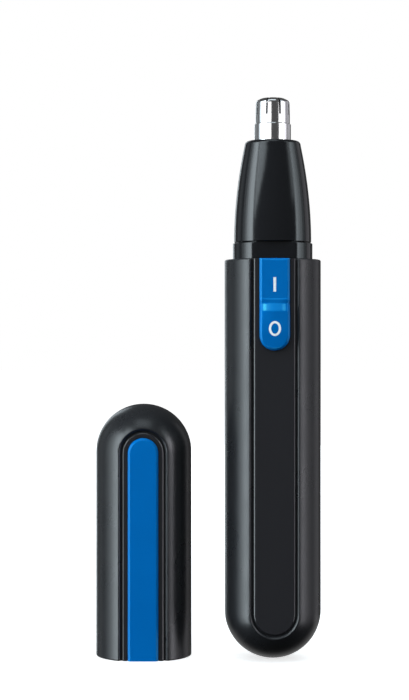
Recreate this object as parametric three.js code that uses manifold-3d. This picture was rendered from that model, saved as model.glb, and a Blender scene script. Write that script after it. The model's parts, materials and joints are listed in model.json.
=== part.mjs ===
import * as THREE from "three";
import { mergeVertices } from "three/addons/utils/BufferGeometryUtils.js";
import Module from "manifold-3d";

// A pen-shaped nose hair trimmer that runs on one AA cell, with its cap standing beside it.
// Millimetres, +Z up, the front faces -Y. Heights are counted from the handle's foot, and one
// outer group moves everything down so that the origin lies in the middle of the grip.

// ---------- driving dimensions ----------
const GRIP_Z = 45.5; // the origin, on the handle's axis
const ROUND = 36; // segments of a large round shape
const SMALL_ROUND = 20;
const TINY_ROUND = 12;
const PLAY = 0.1; // gap between pieces that are fixed to each other
const RUNNING = 0.05; // gap between a shaft and what it turns in or carries

// outer form, shared by the handle and the cap
const BODY_R = 11;
const EDGE = 0.35; // chamfer of the two rims that meet when the cap is on
const CHANNEL_HALF = 5.75; // the channel that runs down the front of handle and cap
const CHANNEL_FLOOR = 8.9; // distance of its floor from the axis
const INLAY_HALF = 4.65; // the glossy inlay in the channel
const INLAY_FACE = 9.4;
const STRIPE_HALF = 3.45; // the blue strip in the inlay
const STRIPE_FACE = 10;

// handle casing
const SHOULDER_Z = 91;
const BORE_R = 9.4;
const BORE_FLAT = 7.7; // the bore is flat at the front, which keys the drive unit
const STEM_SLOT_HALF = 1.5; // slot for the switch's stem, open at the top
const STEM_SLOT_Z = 71.5;

// switch
const BUTTON_HALF = 3.4;
const BUTTON_FOOT_Z = 70.3;
const STEM = { half: 1.2, foot: 72, top: 77 };
const SLIDER_Y = [-7.45, -6.8];
const CONTACT_Y = [-6.3, -6.05]; // the plane of the two fixed contacts

// drive unit: cradle, battery, motor and neck
const UNIT_R = 9.1;
const UNIT_FLAT = 7.6;
const CRADLE_FOOT_Z = 5.2;
const FOOT_PLATE_Z = 6.4;
const CELL_R = 7.25; // AA size: 14.5 mm across, 50.5 mm long
const CELL_Z = 8.6;
const CELL_LENGTH = 50.5;
const CELL_BUTTON_HEIGHT = 1;
const CELL_TOP_Z = CELL_Z + CELL_LENGTH;
const BULKHEAD_Z = [CELL_TOP_Z + 0.6, CELL_TOP_Z + 1.4];
const MOTOR_R = 7.7;
const MOTOR_FLAT = 5.9;
const MOTOR_Z = [64.4, 81.9];
const MOTOR_WALL = 0.7;
const SHAFT_R = 1;
const STACK_R = 4.9;
const STACK_Z = [67.2, 78.4];
const POLES = 3;
const MOTOR_SCREW_X = 4.9;
const TERMINAL_X = 3;
const LEAD_R = 0.4;
const LEAD_HOLE = [-3.1, 2.6];

// neck and coupling
const NECK_FLOOR_Z = [82.3, 83.8];
const NECK_TOP_Z = 94.8;
const NECK_WALL = 2.15;
const SPIGOT_R = 7.3;
const SPIGOT_BORE_R = 4.4;
const SPIGOT_TOP_Z = 98.8;
const SEAL_Z = 96.75;
const SEAL_R = 0.42;
const DOG_FLATS = 3; // hexagonal driver, across its flats

// head
const HEAD_Z = 95;
const HEAD_TOP_Z = 118.2;
const HEAD_BORE_R = 7.75;
const RETAINER_Z = [99.3, 100.4];
const FLANGE_Z = [106, 107.2]; // flange of the cutter's stem
const GUARD_SEAT_Z = 113.1; // the guard's foot flange hangs below this ledge
const GUARD_COLLAR_R = 4.17;
const GUARD_R = 3.93;
const GUARD_BORE_R = 3.55;
const GUARD_STEP_Z = 122.1;
const GUARD_TOP_Z = 128.35;
const GUARD_SLOTS = 8;
const GUARD_SLOT_WIDTH = 0.45;
const GUARD_SLOT_Z = 124.3;
const STEM_R = 1.6;
const STEM_TOP_Z = 119.1;
const WINGS = 4;

// cap
const CAP_X = -29.6; // it stands to the left of the handle
const CAP_Y = 4; // and a little behind it
const CAP_HEIGHT = 58;
const CAP_BORE_R = 9.35;
const CAP_DOME_Z = CAP_HEIGHT - BODY_R;

// ---------- finishes ----------
const finish = (color, roughness, metalness = 0) =>
  new THREE.MeshStandardMaterial({ color, roughness, metalness });
const satinBlack = finish(0x1b1c1f, 0.45);
const glossBlack = finish(0x0e0f11, 0.2);
const blue = finish(0x0060b4, 0.3);
const chrome = finish(0xd8d8d8, 0.12, 1);
const steel = finish(0xa8a9ac, 0.3, 1);
const brass = finish(0xc8a24a, 0.3, 1);
const copper = finish(0xb06a3c, 0.35, 1);
const greyPlastic = finish(0x5a5d60, 0.55);
const whitePlastic = finish(0xd9d9d4, 0.5);
const rubber = finish(0x202020, 0.8);
const ferrite = finish(0x3a3a3d, 0.6);
const cellLabel = finish(0x2d6b4a, 0.4);
const redSheath = finish(0xa82020, 0.5);
const blackSheath = finish(0x151515, 0.5);

// ---------- shape helpers ----------
const wasm = await Module();
wasm.setup();

const FAR = 20; // past any surface, sideways
const ALL_Z = [-1, 200]; // past both ends of the trimmer
const SIDES = { left: -1, right: 1 };

// A closed three.js geometry as a solid that can be cut and joined.
function solid(geometry) {
  const loose = geometry.index ? geometry.toNonIndexed() : geometry.clone();
  loose.deleteAttribute("normal");
  loose.deleteAttribute("uv");
  const merged = mergeVertices(loose, 1e-4);
  const mesh = new wasm.Mesh({
    numProp: 3,
    vertProperties: merged.attributes.position.array,
    triVerts: new Uint32Array(merged.index.array),
  });
  return new wasm.Manifold(mesh);
}

// The solid as a three.js geometry again.
function geometryOf(shape) {
  const mesh = shape.getMesh();
  const geometry = new THREE.BufferGeometry();
  geometry.setAttribute("position", new THREE.BufferAttribute(mesh.vertProperties, 3));
  geometry.setIndex(new THREE.BufferAttribute(mesh.triVerts, 1));
  geometry.computeVertexNormals();
  return geometry;
}

const cut = (shape, ...tools) => tools.reduce((left, tool) => left.subtract(tool), shape);
const join = (shape, ...others) => others.reduce((whole, other) => whole.add(other), shape);

// A profile of [radius, height] points turned round the Z axis.
function revolve(profile, segments = ROUND) {
  const points = profile.map(([r, z]) => new THREE.Vector2(r, z));
  return solid(new THREE.LatheGeometry(points, segments).rotateX(Math.PI / 2));
}

const disc = (r, [z0, z1], segments = ROUND) =>
  revolve([[0, z0], [r, z0], [r, z1], [0, z1]], segments);

const ring = (inner, outer, [z0, z1], segments = ROUND) =>
  revolve([[inner, z0], [outer, z0], [outer, z1], [inner, z1], [inner, z0]], segments);

function slab([x0, x1], [y0, y1], [z0, z1]) {
  const box = new THREE.BoxGeometry(x1 - x0, y1 - y0, z1 - z0);
  return solid(box.translate((x0 + x1) / 2, (y0 + y1) / 2, (z0 + z1) / 2));
}

// Everything in front of the plane at y = -distance.
const frontOf = (distance, heights = ALL_Z) => slab([-FAR, FAR], [-FAR, -distance], heights);

// Profile points of a quarter circle that bulges down (-1) or up (+1) from its centre's height.
function quarter(radius, centreZ, direction, steps = 6) {
  const points = Array.from({ length: steps + 1 }, (_, i) => {
    const angle = (direction * Math.PI * i) / steps / 2;
    return [radius * Math.cos(angle), centreZ + radius * Math.sin(angle)];
  });
  return direction < 0 ? points.reverse() : points;
}

// An outline in X and Z made thick from y = -near to y = -far.
function frontPlate(shape, near = 0, far = FAR) {
  const options = { depth: far - near, bevelEnabled: false, curveSegments: 8 };
  return solid(new THREE.ExtrudeGeometry(shape, options).rotateX(Math.PI / 2).translate(0, -near, 0));
}

// A strip with a round end centred at roundZ and a straight end at flatZ, above or below it.
function tongue(half, roundZ, flatZ) {
  const shape = new THREE.Shape();
  shape.moveTo(half, flatZ);
  shape.lineTo(half, roundZ);
  shape.absarc(0, roundZ, half, 0, Math.PI, flatZ > roundZ);
  shape.lineTo(-half, flatZ);
  shape.closePath();
  return shape;
}

// A side view made thick across the trimmer: its x is the distance forward, its y the height.
function sidePlate(shape, half) {
  const options = { depth: 2 * half, bevelEnabled: false, curveSegments: 4 };
  const [front, up, left] = [[0, -1, 0], [0, 0, 1], [-1, 0, 0]].map((v) => new THREE.Vector3(...v));
  const plate = new THREE.ExtrudeGeometry(shape, options).translate(0, 0, -half);
  return solid(plate.applyMatrix4(new THREE.Matrix4().makeBasis(front, up, left)));
}

// A hexagonal prism on the Z axis, sized across its flats.
function hexagon(flats, [z0, z1]) {
  const corner = flats / Math.sqrt(3);
  const prism = new THREE.CylinderGeometry(corner, corner, z1 - z0, 6);
  return solid(prism.rotateX(Math.PI / 2).translate(0, 0, (z0 + z1) / 2));
}

// A round bar on a curve.
function bar(curve, radius, steps) {
  const section = new THREE.Shape();
  section.absarc(0, 0, radius, 0, 2 * Math.PI);
  const options = { extrudePath: curve, steps, curveSegments: 4, bevelEnabled: false };
  return solid(new THREE.ExtrudeGeometry(section, options));
}

const wire = (...points) =>
  bar(new THREE.CatmullRomCurve3(points.map((p) => new THREE.Vector3(...p))), LEAD_R, 10);

class Helix extends THREE.Curve {
  constructor(footR, topR, [z0, z1], turns) {
    super();
    Object.assign(this, { footR, topR, z0, z1, turns });
  }

  getPoint(t, target = new THREE.Vector3()) {
    const angle = 2 * Math.PI * this.turns * t;
    const r = this.footR + (this.topR - this.footR) * t;
    return target.set(r * Math.cos(angle), r * Math.sin(angle), this.z0 + (this.z1 - this.z0) * t);
  }
}

const spring = (footR, topR, heights, turns, wireR) =>
  bar(new Helix(footR, topR, heights, turns), wireR, 12 * turns);

function part(name, shape, material) {
  const mesh = new THREE.Mesh(geometryOf(shape), material);
  mesh.name = name;
  return mesh;
}

function group(...members) {
  const made = new THREE.Group();
  made.add(...members);
  return made;
}

// ---------- handle ----------
function casing() {
  const outer = revolve([
    ...quarter(BODY_R, BODY_R, -1),
    [BODY_R, SHOULDER_Z - EDGE],
    [BODY_R - EDGE, SHOULDER_Z],
    [0, SHOULDER_Z],
  ]);
  const above = SHOULDER_Z + 1;
  const bore = revolve([...quarter(BORE_R, BODY_R, -1), [BORE_R, above], [0, above]]);
  const keyedBore = bore.subtract(frontOf(BORE_FLAT));
  const channel = frontPlate(tongue(CHANNEL_HALF, BODY_R, above), CHANNEL_FLOOR);
  const slotX = [-STEM_SLOT_HALF, STEM_SLOT_HALF];
  const slot = slab(slotX, [-FAR, 1 - BORE_FLAT], [STEM_SLOT_Z, above]);
  return cut(outer, keyedBore, channel, slot);
}

function frontPanel() {
  const outline = tongue(INLAY_HALF, BODY_R, SHOULDER_Z - RUNNING);
  const opening = tongue(BUTTON_HALF + 0.15, BUTTON_FOOT_Z + BUTTON_HALF, SHOULDER_Z + 1);
  return frontPlate(outline, CHANNEL_FLOOR + RUNNING, INLAY_FACE).subtract(frontPlate(opening));
}

// ---------- switch ----------
// The thumb step: a raised lower part, a ramp, and a flat upper part level with the cap's strip.
function switchButton() {
  const back = CHANNEL_FLOOR + PLAY;
  const side = new THREE.Shape();
  side.moveTo(back, BUTTON_FOOT_Z);
  side.lineTo(STRIPE_FACE + 0.35, BUTTON_FOOT_Z);
  side.quadraticCurveTo(STRIPE_FACE + 0.75, 74.5, STRIPE_FACE + 0.9, 79);
  side.quadraticCurveTo(STRIPE_FACE + 0.1, 80.5, STRIPE_FACE, 82);
  side.lineTo(STRIPE_FACE, SHOULDER_Z);
  side.lineTo(back, SHOULDER_Z);
  side.closePath();
  const outline = frontPlate(tongue(BUTTON_HALF, BUTTON_FOOT_Z + BUTTON_HALF, SHOULDER_Z));
  const stem = slab([-STEM.half, STEM.half], [-back - 0.5, SLIDER_Y[1]], [STEM.foot, STEM.top]);
  return sidePlate(side, BUTTON_HALF + 1).intersect(outline).add(stem);
}

function switchSlider() {
  const half = STEM.half + PLAY;
  const hole = slab([-half, half], [-FAR, 0], [STEM.foot - PLAY, STEM.top + PLAY]);
  return slab([-2.9, 2.9], SLIDER_Y, [64.5, 78.5]).subtract(hole);
}

// Two fingers that bridge the fixed contacts when the switch is up.
function switchWiper() {
  const leaf = slab([-1.6, 1.6], [CONTACT_Y[0] - 0.4, CONTACT_Y[0] - 0.2], [65, 69]);
  return leaf.subtract(slab([-0.3, 0.3], [-FAR, 0], [64, 68]));
}

// ---------- drive unit ----------
// An open frame: two side walls with a bay for the battery and a bay for the motor.
function cradle() {
  const top = MOTOR_Z[1];
  const rod = revolve([...quarter(UNIT_R, BODY_R, -1), [UNIT_R, top], [0, top]]);
  const body = cut(rod, frontOf(UNIT_FLAT), slab([-FAR, FAR], [-FAR, FAR], [-1, CRADLE_FOOT_Z]));
  const bays = [
    [CELL_R + 0.2, [FOOT_PLATE_Z, BULKHEAD_Z[0]]],
    [MOTOR_R + 0.15, [BULKHEAD_Z[1], top + 1]],
  ];
  const openings = bays.flatMap(([r, heights]) => [
    disc(r, heights),
    slab([-FAR, FAR], [2.5, FAR], heights),
    slab([-3.3, 3.3], [-FAR, 0], heights),
  ]);
  const throughBulkhead = [BULKHEAD_Z[0] - 1, BULKHEAD_Z[1] + 1];
  const stripNotch = slab([-1.6, 1.6], [-FAR, -6.9], throughBulkhead);
  const leadHole = disc(2 * LEAD_R, throughBulkhead, TINY_ROUND).translate(...LEAD_HOLE, 0);
  return cut(body, ...openings, stripNotch, leadHole);
}

// The holes for the two screws that hold the motor, through any plate at these heights.
const screwHoles = (heights) =>
  Object.values(SIDES).map((side) => disc(0.95, heights, TINY_ROUND).translate(side * MOTOR_SCREW_X, 0, 0));

// The ring that stands out of the casing, with the spigot that carries the head.
function neckCollar() {
  const [floor, floorTop] = NECK_FLOOR_Z;
  const roof = NECK_TOP_Z - 1.5;
  const inner = UNIT_R - NECK_WALL;
  const grooveR = SPIGOT_R - 0.65;
  const groove = [SEAL_Z - 0.55, SEAL_Z + 0.55];
  const centreHoleR = 3.3;
  const chamfer = 0.2;
  const turned = revolve([
    [centreHoleR, floor],
    [UNIT_R, floor],
    [UNIT_R, NECK_TOP_Z - chamfer],
    [UNIT_R - chamfer, NECK_TOP_Z],
    [SPIGOT_R, NECK_TOP_Z],
    [SPIGOT_R, groove[0]],
    [grooveR, groove[0]],
    [grooveR, groove[1]],
    [SPIGOT_R, groove[1]],
    [SPIGOT_R, SPIGOT_TOP_Z],
    [SPIGOT_BORE_R, SPIGOT_TOP_Z],
    [SPIGOT_BORE_R, roof],
    [inner, roof],
    [inner, floorTop],
    [centreHoleR, floorTop],
    [centreHoleR, floor],
  ]);
  const flat = frontOf(UNIT_FLAT, [floor - 1, NECK_TOP_Z + PLAY]);
  return cut(turned, flat, ...screwHoles([floor - 1, floorTop + 1]));
}

const neckSeal = () =>
  solid(new THREE.TorusGeometry(SPIGOT_R - 0.12, SEAL_R, 6, ROUND).translate(0, 0, SEAL_Z));

function motorScrew(side) {
  const seat = NECK_FLOOR_Z[1] + PLAY;
  const profile = [[0, 80.9], [0.8, 80.9], [0.8, seat], [1.5, seat], [1.4, seat + 0.9], [0, seat + 1]];
  return revolve(profile, TINY_ROUND).translate(side * MOTOR_SCREW_X, 0, 0);
}

// A round slice of the motor with its front and back flats.
function flatted(inset, heights) {
  const flats = slab([-FAR, FAR], [inset - MOTOR_FLAT, MOTOR_FLAT - inset], ALL_Z);
  return disc(MOTOR_R - inset, heights).intersect(flats);
}

function motorCan() {
  const top = MOTOR_Z[1];
  const inside = flatted(MOTOR_WALL, [MOTOR_Z[0] - 1, top - MOTOR_WALL]);
  const bearingHole = disc(1.95, [top - 2, top + 1], SMALL_ROUND);
  return cut(flatted(0, MOTOR_Z), inside, bearingHole, ...screwHoles([top - 2, top + 1]));
}

function motorEndCap() {
  const flange = flatted(0, [62.8, MOTOR_Z[0] - PLAY]);
  const plug = flatted(MOTOR_WALL + PLAY, [64, 65.4]);
  return cut(join(flange, plug), disc(SHAFT_R + 0.15, [62, 66], SMALL_ROUND));
}

// One of the two curved field magnets.
function motorMagnet(side) {
  const outer = MOTOR_R - MOTOR_WALL - PLAY;
  const half = slab(side > 0 ? [1, FAR] : [-FAR, -1], [-4.2, 4.2], ALL_Z);
  return ring(STACK_R + 0.35, outer, [66.5, 79.5]).intersect(half);
}

const motorTerminal = (side) =>
  slab([side * TERMINAL_X - 0.8, side * TERMINAL_X + 0.8], [-0.15, 0.15], [60.8, 62.7]);
const motorBrush = (side) => slab([-0.12, 0.12], [-1, 1], [65.55, 67]).translate(side * 2.35, 0, 0);
const motorBearing = () => ring(SHAFT_R + RUNNING, 1.85, [79.9, 82.5], SMALL_ROUND);

function battery() {
  const top = CELL_TOP_Z - CELL_BUTTON_HEIGHT;
  const crimpR = CELL_R - 0.55;
  const profile = [[0, CELL_Z], [crimpR, CELL_Z], [CELL_R, CELL_Z + 0.5], [CELL_R, top - 0.5]];
  return revolve([...profile, [crimpR, top], [0, top]]);
}

function batteryButton() {
  const foot = CELL_TOP_Z - CELL_BUTTON_HEIGHT + RUNNING;
  const profile = [[0, foot], [2.75, foot], [2.75, CELL_TOP_Z - 0.2], [2.5, CELL_TOP_Z], [0, CELL_TOP_Z]];
  return revolve(profile, SMALL_ROUND);
}

// One stamping: a plate under the battery, a strip up the front, and the switch's lower contact.
function negativeStrip() {
  const plateZ = [FOOT_PLATE_Z + 0.1, FOOT_PLATE_Z + 0.4];
  const stripY = [-7.55, -7.3];
  return join(
    disc(5.4, plateZ, SMALL_ROUND),
    slab([-1.2, 1.2], [stripY[0], -4], plateZ),
    slab([-1.2, 1.2], stripY, [plateZ[0], 62]),
    slab([-1.6, 1.2], [stripY[0], CONTACT_Y[1]], [61.8, 62.05]),
    slab([-1.6, -0.3], CONTACT_Y, [61.8, 74]),
  );
}

// The switch's upper contact, with a tail that runs down to the motor's lead.
const switchTerminal = () =>
  join(slab([0.3, 2.9], CONTACT_Y, [69.4, 74]), slab([2.1, 2.9], CONTACT_Y, [62.7, 70]));

const negativeSpring = () => spring(4.6, 2.4, [7.2, 8.2], 2, 0.33);
const positivePlate = () => slab([-4.4, 4.4], [-3.2, 3.6], [CELL_TOP_Z + 0.1, CELL_TOP_Z + 0.4]);

const leadEndY = 0.15 + PLAY + LEAD_R;
function redLead() {
  const [x, y] = LEAD_HOLE;
  return wire([x, y, CELL_TOP_Z + 0.9], [x, y, 61], [x, y - 0.8, 61.7], [-TERMINAL_X, leadEndY, 61.9]);
}

const blackLead = () =>
  wire([2.5, -5.5, 62.2], [2.6, -4.5, 61.8], [2.9, -2.6, 61.7], [TERMINAL_X, -leadEndY, 61.8]);

// ---------- rotor ----------
const motorShaft = () => disc(SHAFT_R, [61.9, 88], SMALL_ROUND);

// An angle for each gap between the armature's poles.
const gaps = Array.from({ length: POLES }, (_, i) => (360 / POLES) * i + 90);
const inGap = (half, from, to, heights, angle) =>
  slab([from, to], [-half, half], heights).rotate([0, 0, angle]);

function armature() {
  const stack = ring(SHAFT_R + RUNNING, STACK_R, STACK_Z);
  return cut(stack, ...gaps.map((angle) => inGap(1.1, 2.1, FAR, ALL_Z, angle)));
}

const armatureCoil = (angle) => inGap(0.95, 2.3, 4.6, [STACK_Z[0] + 0.2, STACK_Z[1] + 0.6], angle);
const commutator = () => ring(SHAFT_R + RUNNING, 2.1, [65.6, STACK_Z[0] - PLAY], SMALL_ROUND);

function driveDog() {
  const foot = 84.4;
  return hexagon(DOG_FLATS, [foot, 96.5]).subtract(disc(SHAFT_R + RUNNING, [foot - 1, 88.3], SMALL_ROUND));
}

// ---------- head ----------
function headHousing() {
  const crownZ = HEAD_TOP_Z - 0.9;
  const silhouette = [[8.82, HEAD_Z + 0.15], [8.6, 100], [8.15, 107], [7.45, 111.7], [6.35, crownZ]];
  const curve = new THREE.SplineCurve(silhouette.map((p) => new THREE.Vector2(...p)));
  return revolve([
    [HEAD_BORE_R, HEAD_Z],
    [8.7, HEAD_Z],
    ...curve.getPoints(8).map((p) => [p.x, p.y]),
    [6.05, HEAD_TOP_Z - 0.35],
    [5.4, HEAD_TOP_Z],
    [GUARD_COLLAR_R + PLAY, HEAD_TOP_Z],
    [GUARD_COLLAR_R + PLAY, GUARD_SEAT_Z + PLAY],
    [5.4, GUARD_SEAT_Z + PLAY],
    [5.6, 109],
    [6.9, 101.5],
    [6.9, RETAINER_Z[1] + 0.2],
    [HEAD_BORE_R, RETAINER_Z[1] + 0.2],
    [HEAD_BORE_R, HEAD_Z],
  ]);
}

// The fixed guard: a thin steel cup with slots that let hair in at its side and its end.
function outerCutter() {
  const footZ = GUARD_SEAT_Z - 1.1;
  const wideBoreR = GUARD_COLLAR_R - 0.42;
  const shell = revolve(
    [
      [wideBoreR, footZ],
      [5.2, footZ],
      [5.2, GUARD_SEAT_Z],
      [GUARD_COLLAR_R, GUARD_SEAT_Z],
      [GUARD_COLLAR_R, GUARD_STEP_Z - 0.1],
      [GUARD_R, GUARD_STEP_Z + 0.1],
      [GUARD_R - 0.08, GUARD_TOP_Z - 1],
      [GUARD_R - 0.3, GUARD_TOP_Z - 0.45],
      [GUARD_R - 0.85, GUARD_TOP_Z - 0.1],
      [0, GUARD_TOP_Z],
      [0, GUARD_TOP_Z - 0.4],
      [GUARD_BORE_R - 0.5, GUARD_TOP_Z - 0.5],
      [GUARD_BORE_R, GUARD_TOP_Z - 1.1],
      [GUARD_BORE_R, GUARD_STEP_Z - 0.1],
      [wideBoreR, GUARD_STEP_Z - 0.3],
      [wideBoreR, footZ],
    ],
    32,
  );
  const half = GUARD_SLOT_WIDTH / 2;
  const slot = slab([1.3, FAR], [-half, half], [GUARD_SLOT_Z, GUARD_TOP_Z + 1]);
  const turn = 360 / GUARD_SLOTS;
  return cut(shell, ...Array.from({ length: GUARD_SLOTS }, (_, i) => slot.rotate([0, 0, turn * (i + 0.5)])));
}

// It closes the head from below and carries the foot of the cutter's spring.
const headRetainer = () => ring(2.7, HEAD_BORE_R - 0.15, RETAINER_Z);
const stemBush = () => ring(STEM_R + 0.15, GUARD_COLLAR_R - 0.52, [114, 117], SMALL_ROUND);

// ---------- spinning cutter ----------
function cutterHolder() {
  const socketZ = [92.8, 97.5];
  const turned = revolve(
    [
      [0, socketZ[0]],
      [2.9, socketZ[0]],
      [2.9, 98.2],
      [2.4, 98.4],
      [2.4, FLANGE_Z[0]],
      [3.9, FLANGE_Z[0]],
      [3.9, FLANGE_Z[1]],
      [STEM_R, FLANGE_Z[1] + 0.2],
      [STEM_R, STEM_TOP_Z],
      [0, STEM_TOP_Z],
    ],
    SMALL_ROUND,
  );
  return turned.subtract(hexagon(DOG_FLATS + 0.3, [socketZ[0] - 1, socketZ[1]]));
}

const cutterSpring = () => spring(3.25, 3.25, [RETAINER_Z[1] + 0.45, FLANGE_Z[0] - 0.45], 5, 0.25);

function innerCutter() {
  const hub = disc(2.4, [117.6, 122.4], SMALL_ROUND);
  const socket = disc(STEM_R + PLAY, [117, STEM_TOP_Z + 0.2], SMALL_ROUND);
  const wing = slab([0, GUARD_BORE_R - 0.25], [-0.25, 0.25], [122, GUARD_TOP_Z - 1.25]);
  const wings = Array.from({ length: WINGS }, (_, i) => wing.rotate([0, 0, (360 / WINGS) * i]));
  return join(hub.subtract(socket), ...wings);
}

// ---------- cap ----------
// The bore breaks through the channel's floor in the middle, and the strip closes that window.
function capShell() {
  const dome = (r) => quarter(r, CAP_DOME_Z, 1);
  const outer = revolve([[0, 0], [BODY_R - EDGE, 0], [BODY_R, EDGE], ...dome(BODY_R)]);
  const bore = revolve([[0, -1], [CAP_BORE_R, -1], ...dome(CAP_BORE_R)]);
  return cut(outer, bore, frontPlate(tongue(CHANNEL_HALF, CAP_DOME_Z, -1), CHANNEL_FLOOR));
}

function capInlay() {
  const plate = frontPlate(tongue(INLAY_HALF, CAP_DOME_Z, 0), CHANNEL_FLOOR + RUNNING, INLAY_FACE);
  return plate.subtract(frontPlate(tongue(STRIPE_HALF + PLAY, CAP_DOME_Z, -1)));
}

const capStripe = () =>
  frontPlate(tongue(STRIPE_HALF, CAP_DOME_Z, 0), CHANNEL_FLOOR + RUNNING, STRIPE_FACE);

// ---------- assembly ----------
const handle = group(part("casing", casing(), satinBlack), part("front_panel", frontPanel(), glossBlack));

const powerSwitch = group(
  part("switch_button", switchButton(), blue),
  part("switch_slider", switchSlider(), whitePlastic),
  part("switch_wiper", switchWiper(), copper),
);

const driveUnit = group(
  part("cradle", cradle(), greyPlastic),
  part("neck_collar", neckCollar(), glossBlack),
  part("neck_seal", neckSeal(), rubber),
  part("motor_can", motorCan(), steel),
  part("motor_end_cap", motorEndCap(), whitePlastic),
  part("motor_bearing", motorBearing(), brass),
  part("battery", battery(), cellLabel),
  part("battery_button", batteryButton(), steel),
  part("negative_strip", negativeStrip(), copper),
  part("negative_spring", negativeSpring(), steel),
  part("positive_plate", positivePlate(), copper),
  part("switch_terminal", switchTerminal(), brass),
  part("red_lead", redLead(), redSheath),
  part("black_lead", blackLead(), blackSheath),
);
for (const [label, side] of Object.entries(SIDES)) {
  driveUnit.add(
    part("motor_screw_" + label, motorScrew(side), steel),
    part("motor_magnet_" + label, motorMagnet(side), ferrite),
    part("motor_terminal_" + label, motorTerminal(side), copper),
    part("motor_brush_" + label, motorBrush(side), copper),
  );
}

const rotor = group(
  part("motor_shaft", motorShaft(), steel),
  part("armature", armature(), steel),
  ...gaps.map((angle, i) => part("armature_coil_" + (i + 1), armatureCoil(angle), copper)),
  part("commutator", commutator(), brass),
  part("drive_dog", driveDog(), whitePlastic),
);

const head = group(
  part("head_housing", headHousing(), glossBlack),
  part("outer_cutter", outerCutter(), chrome),
  part("head_retainer", headRetainer(), greyPlastic),
  part("stem_bush", stemBush(), brass),
);

const cutter = group(
  part("cutter_holder", cutterHolder(), whitePlastic),
  part("cutter_spring", cutterSpring(), steel),
  part("inner_cutter", innerCutter(), steel),
);

const cap = group(
  part("cap_shell", capShell(), satinBlack),
  part("cap_inlay", capInlay(), glossBlack),
  part("cap_stripe", capStripe(), blue),
);
cap.position.set(CAP_X, CAP_Y, 0);

const trimmer = group(handle, powerSwitch, driveUnit, rotor, head, cutter, cap);
trimmer.position.z = -GRIP_Z;

export default group(trimmer);
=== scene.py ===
"""Looks of the nose hair trimmer and its cap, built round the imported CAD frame."""
import bpy
import bmesh
import json
import math
from mathutils import Matrix, Vector


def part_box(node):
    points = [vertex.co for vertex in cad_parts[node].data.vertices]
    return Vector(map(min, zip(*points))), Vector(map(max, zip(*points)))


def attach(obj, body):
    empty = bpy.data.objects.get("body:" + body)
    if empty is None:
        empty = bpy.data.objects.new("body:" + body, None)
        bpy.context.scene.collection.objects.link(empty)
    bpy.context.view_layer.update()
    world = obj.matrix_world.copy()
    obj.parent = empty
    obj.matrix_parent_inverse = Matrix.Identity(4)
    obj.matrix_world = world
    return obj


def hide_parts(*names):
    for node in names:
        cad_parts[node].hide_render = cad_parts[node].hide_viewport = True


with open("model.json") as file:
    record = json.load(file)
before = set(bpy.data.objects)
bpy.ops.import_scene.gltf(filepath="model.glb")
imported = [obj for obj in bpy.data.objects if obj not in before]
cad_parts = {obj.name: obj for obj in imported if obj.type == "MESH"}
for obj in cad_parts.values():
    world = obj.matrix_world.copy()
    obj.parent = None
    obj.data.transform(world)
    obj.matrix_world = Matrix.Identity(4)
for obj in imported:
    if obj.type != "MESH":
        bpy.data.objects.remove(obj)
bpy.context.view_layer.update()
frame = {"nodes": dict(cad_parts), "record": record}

MM = 0.001

# ---------- measures, in metres, taken from the frame ----------
casing_low, casing_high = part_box("casing")
cap_low, cap_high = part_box("cap_shell")
panel_low, panel_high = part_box("front_panel")
stripe_low, stripe_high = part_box("cap_stripe")
button_low, button_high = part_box("switch_button")
neck_low, neck_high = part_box("neck_collar")
head_low, head_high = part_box("head_housing")
guard_low, guard_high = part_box("outer_cutter")

BODY_R = casing_high.x
FOOT = casing_low.z
SHOULDER = casing_high.z
DOME = FOOT + BODY_R
CAP_X = (cap_low.x + cap_high.x) / 2
CAP_Y = cap_high.y - BODY_R
CAP = (CAP_X, CAP_Y)
CAP_RIM = cap_low.z
CAP_DOME = cap_high.z - BODY_R
INLAY_HALF = panel_high.x
INLAY_FACE = -panel_low.y
STRIPE_HALF = (stripe_high.x - stripe_low.x) / 2
STRIPE_FACE = CAP_Y - stripe_low.y
CHANNEL_HALF = INLAY_HALF + 0.9 * MM
BUTTON_HALF = button_high.x
BUTTON_FOOT = button_low.z
BUTTON_TOP = button_high.z
BUTTON_CREST = -button_low.y

# ---------- shape helpers ----------


def arc(centre, radius, start, end, steps):
    """Points of an arc in a plane. The angles are in degrees."""
    angles = [math.radians(start + (end - start) * i / steps) for i in range(steps + 1)]
    return [(centre[0] + radius * math.cos(a), centre[1] + radius * math.sin(a)) for a in angles]


def rounded(corners, steps=4):
    """A path through (a, b, radius) corners, each rounded to its radius. The ends stay sharp."""
    path = [corners[0][:2]]
    for before, here, after in zip(corners, corners[1:], corners[2:]):
        corner = Vector(here[:2])
        back = (Vector(before[:2]) - corner).normalized()
        on = (Vector(after[:2]) - corner).normalized()
        if here[2] == 0:
            path.append(tuple(corner))
            continue
        half = back.angle(on) / 2
        reach = here[2] / math.tan(half)
        centre = corner + (back + on).normalized() * (here[2] / math.sin(half))
        first, last = corner + back * reach - centre, corner + on * reach - centre
        turn = math.atan2(first.x * last.y - first.y * last.x, first.dot(last))
        path += [tuple(centre + Matrix.Rotation(turn * k / steps, 2) @ first) for k in range(steps + 1)]
    path.append(corners[-1][:2])
    return path


def matched(path, like):
    """The path with as many points as like has, at the same shares of its length."""
    def shares(line):
        run = [0.0]
        for a, b in zip(line, line[1:]):
            run.append(run[-1] + math.dist(a, b))
        return [r / run[-1] for r in run]
    have, out = shares(path), []
    for share in shares(like):
        k = min(max(i for i, h in enumerate(have) if h <= share + 1e-12), len(path) - 2)
        t = (share - have[k]) / (have[k + 1] - have[k])
        out.append(tuple(Vector(path[k]).lerp(Vector(path[k + 1]), min(t, 1))))
    return out


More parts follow.
